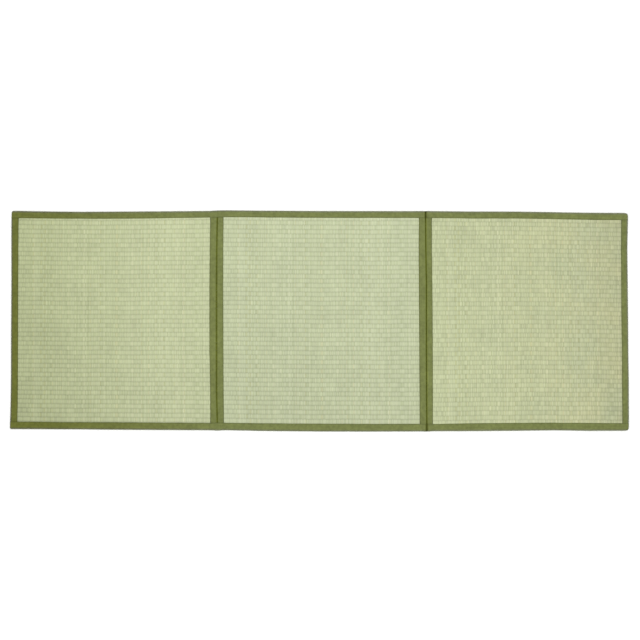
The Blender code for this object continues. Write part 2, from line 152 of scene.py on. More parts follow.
def face_middles(piece):
    """The middles of the piece's faces as an array."""
    middles = np.empty(len(piece.data.polygons) * 3)
    piece.data.polygons.foreach_get("center", middles)
    return middles.reshape(-1, 3)


def pick(piece):
    """Selects this piece alone, as a click on it does."""
    bpy.ops.object.select_all(action="DESELECT")
    piece.select_set(True)
    bpy.context.view_layer.objects.active = piece


def pick_faces(piece, wanted):
    """Goes into edit mode with only these faces selected."""
    pick(piece)
    bpy.ops.object.mode_set(mode="EDIT")
    bpy.ops.mesh.select_mode(type="FACE")
    bpy.ops.mesh.select_all(action="DESELECT")
    bpy.ops.object.mode_set(mode="OBJECT")
    piece.data.polygons.foreach_set("select", np.asarray(wanted, bool))
    bpy.ops.object.mode_set(mode="EDIT")


def grid(name, across, along):
    """A flat grid with this many points each way, and each point's place in it."""
    bpy.ops.object.select_all(action="DESELECT")
    bpy.ops.mesh.primitive_grid_add(
        x_subdivisions=across - 1, y_subdivisions=along - 1, size=2.0, location=(0, 0, 0)
    )
    piece = bpy.context.object
    piece.name = piece.data.name = name
    flat = places(piece)
    columns = np.rint((flat[:, 0] + 1) / 2 * (across - 1)).astype(int)
    rows = np.rint((flat[:, 1] + 1) / 2 * (along - 1)).astype(int)
    return piece, columns, rows


def lay_map(piece, name, values):
    """A map on the piece, from one pair of numbers for each point."""
    layer = piece.data.uv_layers.get(name) or piece.data.uv_layers.new(name=name)
    corner = np.empty(len(piece.data.loops), int)
    piece.data.loops.foreach_get("vertex_index", corner)
    layer.data.foreach_set("uv", values[corner].ravel())


class Socket:
    """A number or colour that changes over a surface. Sums on it add Math nodes."""

    def __init__(self, finish, outputs, name=0):
        self.finish = finish
        self.outputs = outputs
        self.socket = outputs[name]

    def part(self, name):
        return Socket(self.finish, self.outputs, name)

    def maths(self, operation, *values):
        return self.finish.node("Math", {"operation": operation}, enumerate((self, *values)))

    def reflected(self, operation, first):
        return self.finish.node("Math", {"operation": operation}, enumerate((first, self)))

    def __add__(self, other):
        return self.maths("ADD", other)

    def __sub__(self, other):
        return self.maths("SUBTRACT", other)

    def __rsub__(self, other):
        return self.reflected("SUBTRACT", other)

    def __mul__(self, other):
        return self.maths("MULTIPLY", other)

    def __truediv__(self, other):
        return self.maths("DIVIDE", other)

    def __pow__(self, other):
        return self.maths("POWER", other)

    def __abs__(self):
        return self.maths("ABSOLUTE")

    def __lt__(self, other):
        return self.maths("LESS_THAN", other)

    def __gt__(self, other):
        return self.maths("GREATER_THAN", other)

    __radd__ = __add__
    __rmul__ = __mul__


class Finish:
    """A material, with one way to add nodes to it."""

    def __init__(self, name, **constants):
        self.material = bpy.data.materials.new(name)
        self.material.use_nodes = True
        self.tree = self.material.node_tree
        self.shader = self.tree.nodes["Principled BSDF"]
        for socket, value in constants.items():
            self.shader.inputs[socket.replace("_", " ")].default_value = value

    def node(self, kind, settings, sockets, output=0):
        made = self.tree.nodes.new("ShaderNode" + kind)
        for name, setting in settings.items():
            if name == "stops":
                for at, colour in setting[1:-1]:
                    made.color_ramp.elements.new(at).color = colour
                ends = (made.color_ramp.elements[0], made.color_ramp.elements[-1])
                for end, (at, colour) in zip(ends, (setting[0], setting[-1])):
                    end.position, end.color = at, colour
            else:
                setattr(made, name, setting)
        self.join(made, sockets)
        return Socket(self, made.outputs, output)

    def join(self, made, sockets):
        for name, value in dict(sockets).items():
            if isinstance(value, Socket):
                self.tree.links.new(value.socket, made.inputs[name])
            else:
                made.inputs[name].default_value = value

    def blend(self, share, first, second):
        return self.node("Mix", {"data_type": "RGBA"}, {0: share, 6: first, 7: second}, 2)

    def shade(self, colour, level):
        return self.node("VectorMath", {"operation": "SCALE"}, {"Vector": colour, "Scale": level})

    def surface(self, **inputs):
        self.join(self.shader, {name.replace("_", " "): to for name, to in inputs.items()})
        return self.material


def rgb(red, green, blue):
    """A colour as a screen shows it, 0 to 255, as the shader needs it."""
    values = np.array([red, green, blue]) / 255.0
    linear = np.where(values <= 0.04045, values / 12.92, ((values + 0.055) / 1.055) ** 2.4)
    return (*(float(value) for value in linear), 1.0)


# The pad shows between these heights, where the tapes leave a panel's side open.
PAD_SIDE = (1.0 * MM, THICKNESS - 2.0 * MM)


def rush_finish():
    """Rushes that differ in tone, each the same along its length, with fine fibres."""
    finish = Finish("woven_rush", Specular_IOR_Level=0.35, Sheen_Weight=0.08)
    weave = finish.node("UVMap", {"uv_map": "weave"}, {})
    strand_at = finish.node("SeparateXYZ", {}, {0: weave})
    rib_at = strand_at.part("Y")
    rib = rib_at.maths("FLOOR")
    odd = rib.maths("MODULO", 2.0)
    across = abs(rib_at - rib - 0.5) * 2.0
    lane = strand_at - odd * 0.5
    middle = (lane + 0.5).maths("FLOOR")
    off_centre = abs(lane - middle) * 2.0
    strand = middle * 2.0 + odd

    tone = finish.node("TexWhiteNoise", {"noise_dimensions": "1D"}, {"W": strand})
    spare = finish.node("TexWhiteNoise", {"noise_dimensions": "1D"}, {"W": strand + 0.37})
    spot = finish.node("CombineXYZ", {}, {0: strand, 1: rib})
    float_tone = finish.node("TexWhiteNoise", {"noise_dimensions": "2D"}, {"Vector": spot})
    stretch_at = finish.node("CombineXYZ", {}, {0: strand_at * 0.07, 1: rib * 7.3})
    rib_tone = finish.node(
        "TexNoise", {"noise_dimensions": "2D"}, {"Vector": stretch_at, "Scale": 1.0, "Detail": 3.0}
    )
    place = finish.node("TexCoord", {}, {}, "Object")
    x = finish.node("SeparateXYZ", {}, {0: place})
    y, height = x.part("Y"), x.part("Z")
    patch = finish.node("TexNoise", {}, {"Vector": place, "Scale": 9.0, "Detail": 3.0})
    bunch = finish.node(
        "TexNoise", {"noise_dimensions": "1D"}, {"W": strand_at, "Scale": 0.11, "Detail": 4.0}
    )
    stretched = finish.node(
        "Mapping", {}, {"Vector": place, "Scale": (3200.0, 55.0, 3200.0)}
    )
    fibre = finish.node("TexNoise", {}, {"Vector": stretched, "Scale": 1.0, "Detail": 2.0})

    colour = finish.node("ValToRGB", {"stops": (
        (0.00, rgb(184, 193, 150)),
        (0.20, rgb(190, 198, 157)),
        (0.55, rgb(194, 202, 164)),
        (0.85, rgb(198, 205, 167)),
        (1.00, rgb(203, 207, 170)),
    )}, {0: tone})
    colour = finish.blend((spare > 0.975) * 0.40, colour, rgb(198, 190, 136))
    colour = finish.blend((spare < 0.02) * 0.30, colour, rgb(158, 166, 112))
    warm = ((x - 0.45) / 0.50).maths("MAXIMUM", 0.0) * (patch * 2.4 - 0.7)
    tint = finish.blend(x < LEFT_HINGE, (1.0, 1.0, 1.0, 1.0), (0.985, 0.980, 0.925, 1.0))
    tint = finish.blend(x > RIGHT_HINGE, tint, (0.992, 0.982, 0.925, 1.0))
    tint = finish.blend(warm.maths("MAXIMUM", 0.0), tint, (1.03, 0.965, 0.86, 1.0))
    # Painted shade: the mat's left end is painted darker and yellower, most towards the front.
    shaded_left = ((-0.55 - x) / 0.45).maths("MAXIMUM", 0.0)
    tint = finish.blend(shaded_left, tint, (0.975, 0.975, 0.85, 1.0))
    colour = finish.node("VectorMath", {"operation": "MULTIPLY"}, {0: colour, 1: tint})
    pad_side = (height > PAD_SIDE[0]) * (height < PAD_SIDE[1])
    colour = finish.blend(pad_side, colour, rgb(104, 106, 66))
    # Painted shade: the mat's right end is painted darker.
    shaded_right = ((x - 0.80) / 0.20).maths("MAXIMUM", 0.0)
    level = (
        0.615
        + (float_tone - 0.5) * (0.11 + (x > RIGHT_HINGE) * 0.06)
        + (rib_tone - 0.5) * 0.10
        + (patch - 0.5) * 0.14
        + (bunch - 0.5) * 0.05
        + (fibre - 0.5) * 0.08
        # Painted shade: darker towards the grooves between the ribs.
        + (1.0 - across ** 3.0) * (0.185 - (x > RIGHT_HINGE) * 0.03)
        # Painted light falloff: the right panel is painted darker towards its right end.
        + (x > RIGHT_HINGE) * (0.078 - x * 0.075)
        + (x < LEFT_HINGE) * 0.022
        # Painted shade: darker at each strand's sides, between neighbouring strands.
        - off_centre ** 4.0 * 0.08
        # Painted light falloff: the left and middle panels are painted brighter towards the back.
        + y * (x < RIGHT_HINGE) * 0.11
        - shaded_left * (0.115 - y * 0.06)
        - shaded_right * 0.07
    )
    round_strand = (1.0 - off_centre * off_centre) * 0.22 + (fibre - 0.5) * 0.12
    bump = finish.node("Bump", {}, {"Height": round_strand, "Distance": 1.0 * MM, "Strength": 0.8})
    return finish.surface(
        Base_Color=finish.shade(colour, level),
        Roughness=0.52 + spare * 0.16,
        Normal=bump,
    )


RIM_INSET = CLOTH + GAP
CORE_RADIUS = EDGE_RADIUS - RIM_INSET
RIM_TOP = THICKNESS - RIM_INSET
RIM_STEP = 0.5 * MM
GROOVE = 11.35 * MM
RIB_HEIGHT = 0.95 * MM
STRAND_RELIEF = 0.19 * MM
FLOAT_UNEVEN = 0.05 * MM
RIM_SLOPE = 0.6
NARROWEST_ROW = 0.0015
STRAND_STEP = 0.96 * MM
TUCK = 2.0 * MM
# Across one rib: share of its pitch, share of its height, share of the rushes' own relief.
RIB_PARTS = ((0.0, 0.0, 0.0), (0.27, 1.0, 1.0), (0.73, 1.0, 1.0))
PANELS = (
    # name, start, slit, band, end, slit, band, ribs, share of the first rib, finer at the back
    ("rush_panel_left", LEFT_END, 0.0, LEFT_END_BAND,
     LEFT_HINGE, LEFT_HINGE_SLIT, LEFT_HINGE_BANDS[0], 45.5, 0.40, 0.000),
    ("rush_panel_middle", LEFT_HINGE, LEFT_HINGE_SLIT, LEFT_HINGE_BANDS[1],
     RIGHT_HINGE, RIGHT_HINGE_SLIT, RIGHT_HINGE_BANDS[0], 45.6, 0.62, 0.017),
    ("rush_panel_right", RIGHT_HINGE, RIGHT_HINGE_SLIT, RIGHT_HINGE_BANDS[1],
     RIGHT_END, 0.0, RIGHT_END_BAND, 45.4, 0.74, 0.028),
)


def wander(x, y, size, seed):
    """A slow, smooth unevenness of about this size, the same each time."""
    draw = np.random.default_rng(seed)
    total = np.zeros_like(x)
    for _ in range(6):
        turn = draw.uniform(0, 2 * math.pi)
        pace = draw.uniform(12.0, 60.0)
        phase = draw.uniform(0, 2 * math.pi)
        total += np.sin((x * math.cos(turn) + y * math.sin(turn)) * pace + phase)
    return total * size / 3.0


def woven_face(name, left, right, back, front, panel_ribs):
    """The ribbed rush face as a fine grid, its edges level under the tapes."""
    ribs, first_rib, finer = panel_ribs
    rows = [(-TUCK / (back - front), 0.0, 0.0, 0, -first_rib)]
    for rib in range(-1, int(ribs) + 2):
        for part, height, relief in RIB_PARTS:
            share = (rib + first_rib + part) / ribs
            if NARROWEST_ROW < share < 1 - NARROWEST_ROW:
                share -= finer * share * (1 - share)
                rows.append((share, height, relief, rib % 2, rib + part))
    rows.append((1 + TUCK / (back - front), 0.0, 0.0, 0, ribs - first_rib))
    share, height, relief, odd, rib_number = np.array(rows).T
    columns = int((right - left + 2 * TUCK) / STRAND_STEP) + 1
    piece, column, row = grid(name, columns, len(rows))
    x = left - TUCK + column * (right - left + 2 * TUCK) / (columns - 1)
    y = back + (front - back) * share[row]
    draw = np.random.default_rng(len(name))
    over = np.where((column + odd[row]) % 2 == 0, 1.0, -1.0)
    float_lift = draw.normal(0.0, FLOAT_UNEVEN, (columns, int(ribs) + 4))
    rib_index = np.floor(rib_number[row]).astype(int) + 1
    z = GROOVE + RIB_HEIGHT * height[row] + relief[row] * over * STRAND_RELIEF
    z += relief[row] * np.where(over > 0, float_lift[column, rib_index], 0.0)
    inside = np.minimum.reduce([x - left, right - x, back - y, y - front])
    z = np.minimum(z, RIM_TOP + np.maximum(inside + 0.2 * MM, 0.0) * RIM_SLOPE)
    edge = (column == 0) | (column == columns - 1) | (row == 0) | (row == len(rows) - 1)
    z[edge] = RIM_TOP
    put(piece, np.stack([x, y, z], axis=1))
    rib_table = (back + (front - back) * share, rib_number)
    return piece, (left - TUCK, (right - left + 2 * TUCK) / (columns - 1)), rib_table


def slab(name, left, right, rim_x, rim_y):
    """The rest of the panel: rounded sides, a level rim, and the underside. What is inset there
    is then moved to the rims, and it is cut wherever the mat's sides bend."""
    bpy.ops.object.select_all(action="DESELECT")
    bpy.ops.mesh.primitive_cube_add(size=1.0, location=(0, 0, 0))
    piece = bpy.context.object
    piece.name = name
    size = np.array([right - left - 2 * RIM_INSET, 2 * (HALF_WIDTH - RIM_INSET),
                     THICKNESS - 2 * RIM_INSET])
    put(piece, places(piece) * size + [(left + right) / 2, 0.0, THICKNESS / 2])
    bpy.ops.object.mode_set(mode="EDIT")
    bpy.ops.mesh.bevel(offset=CORE_RADIUS, segments=4, affect="EDGES")
    bpy.ops.object.mode_set(mode="OBJECT")
    pick_faces(piece, face_middles(piece)[:, 2] < RIM_INSET + 1e-6)
    bpy.ops.mesh.inset(thickness=10 * MM)
    bpy.ops.mesh.extrude_region_move(TRANSFORM_OT_translate={"value": (0, 0, -RIM_INSET)})
    bpy.ops.object.mode_set(mode="OBJECT")
    points = places(piece)
    middle = (left + right) / 2
    lowered = points[:, 2] < 1e-6
    inset = (abs(points[:, 2] - RIM_INSET) < 1e-6) & (
        abs(points[:, 1]) < HALF_WIDTH - EDGE_RADIUS - 5 * MM
    )
    for group, step in ((lowered, RIM_STEP), (inset, 0.0)):
        right_side, back_side = points[:, 0] > middle, points[:, 1] > 0
        points[group & right_side, 0] = rim_x[1] - step
        points[group & ~right_side, 0] = rim_x[0] + step
        points[group & back_side, 1] = rim_y[1] - step
        points[group & ~back_side, 1] = rim_y[0] + step
    put(piece, points)
    for knots, axis in ((ALONG[0], 0), (ACROSS[0], 1)):
        low, high = ((left, right), (-HALF_WIDTH, HALF_WIDTH))[axis]
        for knot in knots:
            if low + 2 * EDGE_RADIUS < knot < high - 2 * EDGE_RADIUS:
                pick_faces(piece, [True] * len(piece.data.polygons))
                at, normal = [0.0, 0.0, 0.0], [0.0, 0.0, 0.0]
                at[axis], normal[axis] = knot, 1.0
                bpy.ops.mesh.bisect(plane_co=at, plane_no=normal)
                bpy.ops.object.mode_set(mode="OBJECT")
    pick_faces(piece, face_middles(piece)[:, 2] > RIM_TOP - 1e-6)
    bpy.ops.mesh.delete(type="FACE")
    bpy.ops.object.mode_set(mode="OBJECT")
    return piece


rush = rush_finish()
for name, start, start_slit, start_band, end, end_slit, end_band, *panel_ribs in PANELS:
    rim_x = (start + start_band + GAP, end - end_band - GAP)
    rim_y = (FRONT_BAND + GAP - HALF_WIDTH, HALF_WIDTH - BACK_BAND - GAP)
    panel, strands, rib_table = woven_face(
        name + "_woven", rim_x[0], rim_x[1], rim_y[1], rim_y[0], panel_ribs
    )
    body = slab(name + "_slab", start + start_slit, end - end_slit, rim_x, rim_y)
    pick(panel)
    body.select_set(True)
    bpy.ops.object.join()
    bpy.ops.object.mode_set(mode="EDIT")
    bpy.ops.mesh.select_mode(type="EDGE")
    bpy.ops.mesh.select_all(action="DESELECT")
    bpy.ops.mesh.select_non_manifold(use_wire=False, use_multi_face=False,
                                     use_non_contiguous=False, use_verts=False)
    bpy.ops.mesh.fill(use_beauty=False)
    bpy.ops.mesh.select_all(action="SELECT")
    bpy.ops.mesh.normals_make_consistent(inside=False)
    bpy.ops.object.mode_set(mode="OBJECT")
    points = places(panel)
    by_y = np.argsort(rib_table[0])
    rib_numbers = np.interp(points[:, 1], rib_table[0][by_y], rib_table[1][by_y])
    strand_numbers = (points[:, 0] - strands[0]) / strands[1] / 2
    lay_map(panel, "weave", np.stack([strand_numbers + 10, rib_numbers + 10], axis=1))
    x, y = points[:, 0].copy(), points[:, 1].copy()
    points[:, 1] += wander(x * 1.6, y * 0.5, 0.45 * MM, 3)
    points[:, 0] += wander(x * 0.5, y * 1.6, 0.30 * MM, 4)
    put(panel, uneven(points))
    pick(panel)
    bpy.ops.object.shade_smooth_by_angle(angle=math.radians(60))
    panel.data.materials.clear()
    panel.data.materials.append(rush)
    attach(panel, "root")
    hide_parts(name)

# Short tapes. Each is a strip of olive cotton cloth, sewn over the end of a panel and folded
# round its edge to the underside. The two between panels reach over both and are the hinges:
# the left one creases at the top face, the right one runs on across the underside.
SHORT_TAPE_END = HALF_WIDTH - EDGE_RADIUS - GAP
CREASE_DEPTH = 3.4 * MM
SEAM_IN = 2.6 * MM
CLOTH_STEP = 4.2 * MM
PUCKER = 0.24 * MM
LIP_WANDER = 0.22 * MM
SOFT_EDGE = 0.28 * MM
TRIM_HEIGHT = EDGE_RADIUS
TURN = np.radians(np.linspace(0.0, 90.0, 7))
TOP_TURN_AT_CREASE = np.radians(np.linspace(0.0, 64.0, 6))


def tape_finish():
    """Plain-woven cotton. It is darker towards the mat's left end, partly its dye and partly
    painted shade, and paler and greyer on its outer folds, partly wear and partly painted sheen.
    """
    finish = Finish(
        "edge_tape", Specular_IOR_Level=0.1, Sheen_Weight=0.08, Sheen_Roughness=0.5,
        Sheen_Tint=rgb(190, 196, 140),
    )
    cloth = finish.node("UVMap", {"uv_map": "cloth"}, {})
    along = finish.node("SeparateXYZ", {}, {0: cloth})
    across = along.part("Y")
    side = finish.node("UVMap", {"uv_map": "side"}, {})
    from_side = finish.node("SeparateXYZ", {}, {0: side})
    height = from_side.part("Y")
    place = finish.node("TexCoord", {}, {}, "Object")
    x = finish.node("SeparateXYZ", {}, {0: place})
    to_fold = finish.node("SeparateXYZ", {}, {0: finish.node("UVMap", {"uv_map": "fold"}, {})})
    crease = (1.0 - to_fold).maths("MAXIMUM", 0.0)
    near_end = finish.node("SeparateXYZ", {}, {0: finish.node("UVMap", {"uv_map": "ends"}, {})})

    thread = 2 * math.pi / (0.9 * MM)
    weave = (along * thread).maths("SINE") * (across * thread).maths("SINE")
    warp_at = finish.node("CombineXYZ", {}, {0: along * 9.0, 1: across * 1400.0})
    weft_at = finish.node("CombineXYZ", {}, {0: along * 1400.0, 1: across * 40.0})
    warp = finish.node("TexNoise", {}, {"Vector": warp_at, "Scale": 1.0, "Detail": 1.0})
    weft = finish.node("TexNoise", {}, {"Vector": weft_at, "Scale": 1.0, "Detail": 1.0})
    streak_at = finish.node("CombineXYZ", {}, {0: along * 11.0, 1: across * 230.0})
    streak = finish.node("TexNoise", {}, {"Vector": streak_at, "Scale": 1.0, "Detail": 2.0})
    faded = finish.node("TexNoise", {}, {"Vector": place, "Scale": 14.0, "Detail": 4.0})
    mottle = finish.node("TexNoise", {}, {"Vector": place, "Scale": 110.0, "Detail": 3.0})
    fuzz = finish.node("TexNoise", {}, {"Vector": place, "Scale": 900.0, "Detail": 2.0})

    # Painted shade and dye: the tape is painted darker towards the mat's front left, partly its
    # own darker dye and partly painted shade.
    to_left = (-0.35 - x - x.part("Y") * 0.25) / 0.65
    to_left = to_left.maths("MAXIMUM", 0.0).maths("MINIMUM", 1.0)
    # Wear and painted sheen: the outer fold is painted paler and greyer, partly rubbed cloth and
    # partly a painted sheen of light on the turning edge.
    rubbed_and_sheen = ((7.0 * MM - from_side) / (3.0 * MM)).maths("MAXIMUM", 0.0).maths("MINIMUM", 1.0)
    on_fold = ((height - 9.4 * MM) / (1.2 * MM)).maths("MAXIMUM", 0.0).maths("MINIMUM", 1.0)
    rubbed_and_sheen = rubbed_and_sheen * on_fold * (faded * 0.8 + 0.5)
    seam = (1.0 - abs(across - SEAM_IN) / (1.3 * MM)).maths("MAXIMUM", 0.0)
    hem = (1.0 - across / (3.2 * MM)).maths("MAXIMUM", 0.0)

    colour = finish.blend(to_left, rgb(123, 131, 77), rgb(109, 114, 50))
    # The paler grey of wear and painted sheen.
    worn_and_sheen_colour = finish.blend(to_left, rgb(122, 126, 98), rgb(101, 102, 80))
    colour = finish.blend(rubbed_and_sheen * 0.75, colour, worn_and_sheen_colour)
    # Painted shade colour: near a hinge's fold the cloth is painted a deeper olive.
    colour = finish.blend((crease * 1.8).maths("MINIMUM", 1.0), colour, rgb(115, 123, 46))
    level = (
        1.02
        + (faded - 0.5) * 0.34
        + (mottle - 0.5) * 0.70
        + (streak - 0.5) * 0.26
        + (warp - 0.5) * 0.16
        + (weft - 0.5) * 0.12
        + weave * 0.03
        # Painted shade in the seam line, where the stitches pull the cloth down.
        - seam * 0.08
        # Painted shade along the hem at the tape's inner edge, deeper near the long tapes.
        - hem * (0.10 + mottle * 0.44 + near_end * 0.35)
        # Painted shade near the long tapes' raised edges.
        - near_end * 0.05
        # Painted shade at the hinge folds; painted light in the right hinge's open slit.
        - crease * to_fold.part("Y")
    )
    relief = weave * 0.10 + (fuzz - 0.5) * 0.10 - seam * 0.30
    bump = finish.node("Bump", {}, {"Height": relief, "Distance": 1.0 * MM, "Strength": 0.6})
    return finish.surface(
        Base_Color=finish.shade(colour, level * TAPE_LEVEL),
        Roughness=0.80 + (faded - 0.5) * 0.15,
        Normal=bump,
    )


def top_distances(band):
    """Points across a tape's top, from its inner edge to where it starts to turn down."""
    near_edge = [band, band - 0.9 * MM, band - SEAM_IN]
    return np.concatenate([near_edge, np.linspace(band - 5 * MM, EDGE_RADIUS + GAP, 5)])


def over_top(band, turn=TURN):
    """Cloth over the top face and down its edge: distances from the side, and heights."""
    flat = top_distances(band)
    distance = [*flat, *(EDGE_RADIUS * (1 - np.sin(turn)))]
    height = [*(flat * 0 + THICKNESS), *(THICKNESS - EDGE_RADIUS * (1 - np.cos(turn)))]
    return np.array([distance, height]).T


def under_edge(band, top=None):
    """Cloth down the side from this height, round the lower edge and under the panel."""
    start = [] if top is None else [(0.0, top)]
    turn = TURN[::-1]
    around = zip(EDGE_RADIUS * (1 - np.sin(turn)), EDGE_RADIUS * (1 - np.cos(turn)))
    return np.array([*start, *around, ((EDGE_RADIUS + band) / 2, 0.0), (band, 0.0)])


def loose(distance, band, along, seed):
    """How far a tape's top puckers up between its seam and its fold."""
    middle = (distance - EDGE_RADIUS) / (band - SEAM_IN - EDGE_RADIUS)
    crown = np.sin(math.pi * np.clip(middle, 0.0, 1.0))
    lip = np.clip((distance - band + SEAM_IN) / SEAM_IN, 0.0, 1.0) * 0.5
    draw = np.random.default_rng(seed)
    waves = sum(
        np.sin(along * 2 * math.pi / draw.uniform(8 * MM, 45 * MM) + draw.uniform(0, 6.3))
        for _ in range(7)
    )
    return PUCKER * (crown + lip) * (0.5 + 0.13 * waves)


def thicken(piece):
    """Turns the sheet into cloth with a soft cut edge."""
    pick(piece)
    cloth = piece.modifiers.new("cloth", "SOLIDIFY")
    cloth.thickness = CLOTH
    cloth.offset = -1.0
    cloth.use_even_offset = True
    bpy.ops.object.modifier_apply(modifier=cloth.name)
    edge = piece.modifiers.new("edge", "BEVEL")
    edge.width = SOFT_EDGE
    edge.segments = 2
    edge.limit_method = "ANGLE"
    edge.angle_limit = math.radians(50)
    bpy.ops.object.modifier_apply(modifier=edge.name)
    bpy.ops.object.shade_smooth_by_angle(angle=math.radians(50))


def cut_away(piece, gone):
    """Cuts these faces off the sheet."""
    pick_faces(piece, gone)
    bpy.ops.mesh.delete(type="FACE")
    bpy.ops.object.mode_set(mode="OBJECT")


def lay_fold_map(piece, to_fold, dark):
    """How far each point is from a hinge's fold, which reaches as far as 1, and how much painted
    shade it gets there.
    """
    lay_map(piece, "fold", np.stack([to_fold, dark + to_fold * 0.0], axis=1))


FRONT_CROSSING, BACK_CROSSING = FRONT_BAND + GAP - HALF_WIDTH, HALF_WIDTH - BACK_BAND - GAP
TAPE_LEVEL = 0.74
# A short tape is painted darker this near a long one, painted shade from the long tape's raised
# edge. It lies flat this near it, and meets its edge.
END_SHADE, END_FLAT, END_MEETS = 20.0 * MM, 12.0 * MM, 0.2 * MM
# How far a hinge's fold shows in its tape, and how much painted shade it gets there: in the left
# hinge, in the right one under the long tapes, and in the right one's open slit, which is painted
# lighter.
HINGE_FOLD = 4.0 * MM
LEFT_FOLD_DARK, COVERED_FOLD_DARK, OPEN_FOLD_DARK = 0.12, 0.10, -0.55
tape = tape_finish()


def short_sheet(name, line, inwards, band, path, seed):
    """One sheet of a short tape, from its section. The path runs rightwards on top."""
    if inwards > 0:
        path = path[::-1]
    evenly = np.arange(-SHORT_TAPE_END, SHORT_TAPE_END, CLOTH_STEP)
    apart = np.minimum(abs(evenly - FRONT_CROSSING), abs(evenly - BACK_CROSSING)) > 2 * MM
    meets = (FRONT_CROSSING - END_MEETS, BACK_CROSSING + END_MEETS)
    rows = np.sort([*evenly[apart], *meets, SHORT_TAPE_END])
    piece, column, row = grid(name, len(path), len(rows))
    distance, height = path[column].T
    y = rows[row]
    length = np.concatenate([[0.0], np.cumsum(np.hypot(*np.diff(path, axis=0).T))])
    across = length[column] if inwards < 0 else length[-1] - length[column]
    on_top = height > THICKNESS - 0.01 * MM
    to_long_tape = np.minimum(y - FRONT_CROSSING, BACK_CROSSING - y)
    clear = np.clip(to_long_tape / END_FLAT, 0.0, 1.0)
    at_lip = (abs(distance - band) < 0.01 * MM) & on_top
    lay_map(piece, "cloth", np.stack([y, across + (0.0 if on_top.any() else band)], axis=1))
    at_hinge = line not in (LEFT_END, RIGHT_END)
    lay_map(piece, "side", np.stack([distance + at_hinge * 2 * EDGE_RADIUS, height], axis=1))
    x = line + inwards * distance
    to_left, to_right = abs(x - LEFT_HINGE), abs(x - RIGHT_HINGE)
    # Painted shade at the hinge folds, and painted light in the right hinge's open slit.
    covered = (y < FRONT_CROSSING) | (y > BACK_CROSSING)
    right_dark = np.where(covered, COVERED_FOLD_DARK, OPEN_FOLD_DARK)
    fold_dark = np.where(to_left < to_right, LEFT_FOLD_DARK, right_dark)
    lay_fold_map(piece, np.minimum(to_left, to_right) / HINGE_FOLD, fold_dark)
    # Painted shade near the long tapes, whose raised edges shade the short tape.
    near_end = np.clip(1 - to_long_tape / END_SHADE, 0, 1)
    lay_map(piece, "ends", np.stack([near_end, near_end], axis=1))
    height = height + np.where(on_top, loose(distance, band, y, seed), 0.0) * clear
    distance = distance + np.where(at_lip, wander(y * 3, y * 0, LIP_WANDER, seed), 0.0) * clear
    points = np.stack([line + inwards * distance, y, height], axis=1)
    put(piece, points)
    face_x, face_y, face_z = face_middles(piece).T
    under_long_tape = (face_y < FRONT_CROSSING) | (face_y > BACK_CROSSING)
    at_corner = (abs(face_x - line) < EDGE_RADIUS + GAP) & (line in (LEFT_END, RIGHT_END))
    cut_away(piece, under_long_tape & ((face_z < TRIM_HEIGHT) | at_corner))
    return piece


def short_tape(name, sheets):
    """Joins the sheets of one short tape, bends them with the mat and dresses them."""
    made = []
    for number, (line, inwards, band, path) in enumerate(sheets):
        made.append(short_sheet(f"{name}_cloth_{number}", line, inwards, band, path,
                                len(name) + number))
    piece = made[0]
    if len(made) > 1:
        pick(piece)
        for sheet in made[1:]:
            sheet.select_set(True)
        bpy.ops.object.join()
    piece.name = piece.data.name = name + "_cloth"
    put(piece, uneven(places(piece)))
    thicken(piece)
    piece.data.materials.append(tape)
    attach(piece, "root")
    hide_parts(name)


WEB_TOP = THICKNESS - CREASE_DEPTH - 0.5 * CLOTH
for name, line, inwards, band in (
    ("end_tape_left", LEFT_END, 1, LEFT_END_BAND),
    ("end_tape_right", RIGHT_END, -1, RIGHT_END_BAND),
):
    short_tape(name, [(line, inwards, band, np.concatenate([over_top(band), under_edge(band)]))])

halves = []
for inwards, band in zip((-1, 1), LEFT_HINGE_BANDS):
    side = LEFT_HINGE + inwards * LEFT_HINGE_SLIT
    crease = [(-LEFT_HINGE_SLIT, THICKNESS - CREASE_DEPTH)]
    width = band - LEFT_HINGE_SLIT
    top = np.concatenate([over_top(width, TOP_TURN_AT_CREASE), crease])
    halves.append((side, inwards, width, top))
    halves.append((side, inwards, width, under_edge(width, WEB_TOP)))
short_tape("hinge_tape_left", halves)

halves = []
for inwards, band in zip((-1, 1), RIGHT_HINGE_BANDS):
    side = RIGHT_HINGE + inwards * RIGHT_HINGE_SLIT
    width = band - RIGHT_HINGE_SLIT
    top = np.concatenate([over_top(width), [(0.0, 0.8 * CLOTH)]])
    halves.append((side, inwards, width, top))
    base = np.array([(-RIGHT_HINGE_SLIT, 0.0), (EDGE_RADIUS, 0.0), (width, 0.0)])
    halves.append((side, inwards, width, base))
short_tape("hinge_tape_right", halves)

# Long tapes. Each is one strip of the same cloth, sewn over the whole back or front side and
# folded round it. It rides up over the short tapes' ends, dips at the left hinge, is slit at
# both hinges so that they can fold, and is tucked in round the mat's corners.
LIFT = CLOTH + GAP
UNDER_SLIT = 0.6 * MM
TOP_SLIT = 3.2 * MM
CREASE_DIP = 1.0 * MM
# A long tape is painted darker within this distance of the right hinge's slit, and by this much:
# painted shade.
SLIT_SHADE, SLIT_DARK = 6.0 * MM, 0.40
CORNER_TURN = np.radians((80.0, 70.0, 58.0, 44.0, 30.0, 15.0, 0.0))
# Distance in from a short tape's inner edge, and how much of the lift is left there.
RAMP = ((0.0, 1.0), (0.6, 1.0), (1.6, 0.86), (3.2, 0.42), (4.8, 0.08), (6.0, 0.0))
# Distance from the left hinge, and how much of the dip has been reached.
DIP = ((5.3, 0.0), (3.6, 0.12), (2.0, 0.45), (0.6, 1.0))


